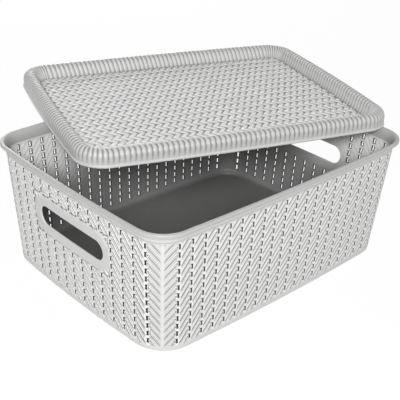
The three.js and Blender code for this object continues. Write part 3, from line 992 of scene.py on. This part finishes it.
lidFinish = {
    "pale": reflected(241, 241, 240),
    "shade": reflected(235, 235, 234),
    # painted shade in the lid's hollows and across its border, and darker painted shade in its deepest
    # hollows
    "paintedShade": reflected(124, 124, 123),
    "deepShade": reflected(60, 60, 60),
    "shadeMarkStart": 0.45,
    "shadeMarkDepth": 1.45,
    "ridgeShade": 0.35,
    "ridgeHeight": 0.0004,
    "roughness": 0.40,
    "grain": 0.10,
}


def plastic(name, finish):
    # Satin moulded plastic: a pale grey that drifts a little, painted shade that darkens it evenly with the
    # shade mark and near black past that, fine ridges along the strands, three to a row, as a cosine of the
    # phase, as bumps and as painted shade, a drifting gloss, and a fine grain.
    material = bpy.data.materials.new(name)
    graph = Graph(material)

    def noise(scale, detail):
        return graph.node("TexNoise", {"Vector": where, "Scale": scale, "Detail": detail})

    def ramp(start, end):
        return graph.node("MapRange", {"Value": shadeMark, "From Min": start, "From Max": end})

    def blend(share, first, second):
        ends = {"Factor": share, 6: first, 7: second}
        return graph.node("Mix", ends, 2, data_type="RGBA", clamp_factor=True)

    where = graph.node("TexCoord", output="Object")
    drift = noise(moulding["driftScale"], 3.0)
    grain = noise(moulding["grainScale"], 2.0)
    marks = graph.node("Attribute", output="Vector", attribute_name="marks")
    shadeMark = graph.node("SeparateXYZ", {0: marks})
    phase = shadeMark.beside(1)
    strength = shadeMark.beside(2)
    lines = graph.math("COSINE", phase * (moulding["ridges"] * 2 * math.pi), 0.0) * strength
    # painted shade: darker with the shade mark, and between the fine ridges
    darkness = ramp(finish["shadeMarkStart"], finish["shadeMarkDepth"])
    darkness = darkness + (strength - lines) * (finish["ridgeShade"] / 2)
    colour = blend(darkness, blend(drift, finish["shade"], finish["pale"]), finish["paintedShade"])
    colour = blend(ramp(moulding["deepShadeStart"], moulding["deepShadeEnd"]), colour, finish["deepShade"])
    gloss = (drift - 0.5) * moulding["driftGloss"] + (grain - 0.5) * moulding["grainGloss"]
    ridged = graph.node("Bump", {"Strength": 1.0, "Distance": finish["ridgeHeight"], "Height": lines})
    relief = {"Height": grain, "Distance": moulding["grainHeight"], "Normal": ridged}
    bump = graph.node("Bump", {"Strength": finish["grain"], **relief})
    shader = graph.node("BsdfPrincipled", {
        "Base Color": colour,
        "Roughness": gloss + finish["roughness"],
        "Normal": bump,
        "IOR": moulding["refraction"],
    })
    graph.node("OutputMaterial", {"Surface": shader})
    return material


basketPlastic = plastic("basket_plastic", basketFinish)
lidPlastic = plastic("lid_plastic", lidFinish)
print("materials made")


def place(piece, material, body, slotName, *nodes):
    # a finish for a piece, the body it rides on, its slot, which is not used, and the plain nodes that it
    # stands in for
    piece.data.materials.append(material)
    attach(piece, body)
    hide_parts(*nodes)


wallPieces = (
    ("front", "long", 1, False),
    ("back", "long", -1, True),
    ("right", "end", 1, False),
    ("left", "end", -1, True),
)
for nameEnd, side, lean, isOpposite in wallPieces:
    piece = basketWall("knit_wall_" + nameEnd, side, lean, isOpposite)
    place(piece, basketPlastic, "basket", "basket_plastic", "basket_" + nameEnd + "_wall")
print("walls made")

cornerPieces = (
    ("front_right", "fromLong", False, False),
    ("back_left", "fromEnd", False, True),
    ("front_left", "valley", True, False),
    ("back_right", "peak", True, True),
)
for nameEnd, kind, isMirrored, isOpposite in cornerPieces:
    piece = basketCorner("knit_corner_" + nameEnd, kind, isMirrored, isOpposite)
    place(piece, basketPlastic, "basket", "basket_plastic", "basket_corner_" + nameEnd)
print("corners made")

rimNodes = [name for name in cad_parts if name.startswith("basket_rim_")]
place(basketRim("rolled_rim"), basketPlastic, "basket", "basket_plastic", *rimNodes)
place(basketFloor("basket_base"), basketPlastic, "basket", "basket_plastic", "basket_floor")
place(lidBorder("ribbed_border"), lidPlastic, "lid", "lid_plastic", "lid_border")
place(lidPanel("woven_panel"), lidPlastic, "lid", "lid_plastic", "lid_panel")
print("rim, floor and lid made")


# the studio: a pale floor, a light room and large soft lamps
studio = {
    "roomLight": 0.30,
    "floorSize": 3.0,
    "floorGrey": (0.9, 0.9, 0.9, 1),
    "floorGlow": 0.95,  # how much of the floor's white the camera sees without light on it
    "white": (1, 1, 1, 1),
    "lampTarget": (0, 0, 0.08),
    "lamps": (  # name, place, size in metres and power in watts
        ("key", (-1.3, -1.3, 1.2), 0.6, 47.0),
        ("fill", (1.6, -1.0, 1.0), 1.4, 3.0),
        ("top", (0.1, 0.3, 2.2), 1.6, 1.5),
        ("back", (0.8, 1.6, 0.5), 1.0, 12.0),
    ),
}


def studioFloor():
    # a square that is matte to the light and nearly pure white to the camera
    size = studio["floorSize"] * 1000
    points = np.array([[-size, -size, 0], [size, -size, 0], [size, size, 0], [-size, size, 0]])
    floor = pieceFrom("studio_floor", points, [np.array([[0, 1, 2, 3]])])
    material = bpy.data.materials.new("studio_floor")
    graph = Graph(material)
    seen = graph.node("LightPath", output="Is Camera Ray")
    matte = graph.node("BsdfDiffuse", {"Color": studio["floorGrey"]})
    glow = graph.node("Emission", {"Color": studio["white"], "Strength": 1.0})
    mixed = graph.node("MixShader", {0: seen * studio["floorGlow"], 1: matte, 2: glow})
    graph.node("OutputMaterial", {"Surface": mixed})
    floor.data.materials.append(material)


def studioRoom():
    # white to the camera and in reflections, and a plain grey light on everything else
    world = bpy.data.worlds.new("room")
    bpy.context.scene.world = world
    graph = Graph(world)
    light, white = (graph.node("Background", {"Color": studio["white"], "Strength": strength})
                    for strength in (studio["roomLight"], 1.0))
    seen = graph.node("LightPath", output="Is Camera Ray")
    mirrored = graph.node("LightPath", output="Is Glossy Ray")
    mixed = graph.node("MixShader", {0: seen + mirrored, 1: light, 2: white})
    graph.node("OutputWorld", {"Surface": mixed})


def studioLamps():
    # round lamps, each turned so that its -Z looks at the target
    for name, where, size, power in studio["lamps"]:
        lamp = bpy.data.lights.new(name, "AREA")
        lamp.shape = "DISK"
        lamp.size = size
        lamp.energy = power
        piece = bpy.data.objects.new(name, lamp)
        bpy.context.scene.collection.objects.link(piece)
        piece.location = where
        sight = Vector(studio["lampTarget"]) - Vector(where)
        piece.rotation_euler = sight.to_track_quat("-Z", "Y").to_euler()


# the camera, fitted to the photograph
view = {
    "azimuth": math.radians(-44.15),
    "elevation": math.radians(27.91),
    "roll": math.radians(2.953),
    "distance": 952.3,
    "slide": (-3.0, -5.55),  # sideways and up, in the picture's own directions
    "sensor": 36,
    "lens": 836.95 / 400 * 36,  # 836.95 pixels in a picture that is 400 pixels wide
}


def makeCamera():
    # looks at the box's middle from an azimuth and elevation, rolled, then slid and moved back
    tilt = Matrix.Rotation(math.pi / 2 - view["elevation"], 4, "X")
    turn = Matrix.Rotation(view["azimuth"], 4, "Z") @ tilt @ Matrix.Rotation(view["roll"], 4, "Z")
    middle = Matrix.Translation((0, 0, basket["height"] / 2000))
    camera = bpy.data.objects.new("camera", bpy.data.cameras.new("camera"))
    bpy.context.scene.collection.objects.link(camera)
    camera.data.sensor_width = view["sensor"]
    camera.data.lens = view["lens"]
    offset = Vector((*view["slide"], view["distance"])) / 1000
    camera.matrix_world = middle @ turn @ Matrix.Translation(offset)
    bpy.context.scene.camera = camera


studioFloor()
studioRoom()
studioLamps()
makeCamera()
bpy.context.scene.view_settings.view_transform = "Standard"
print("studio made")
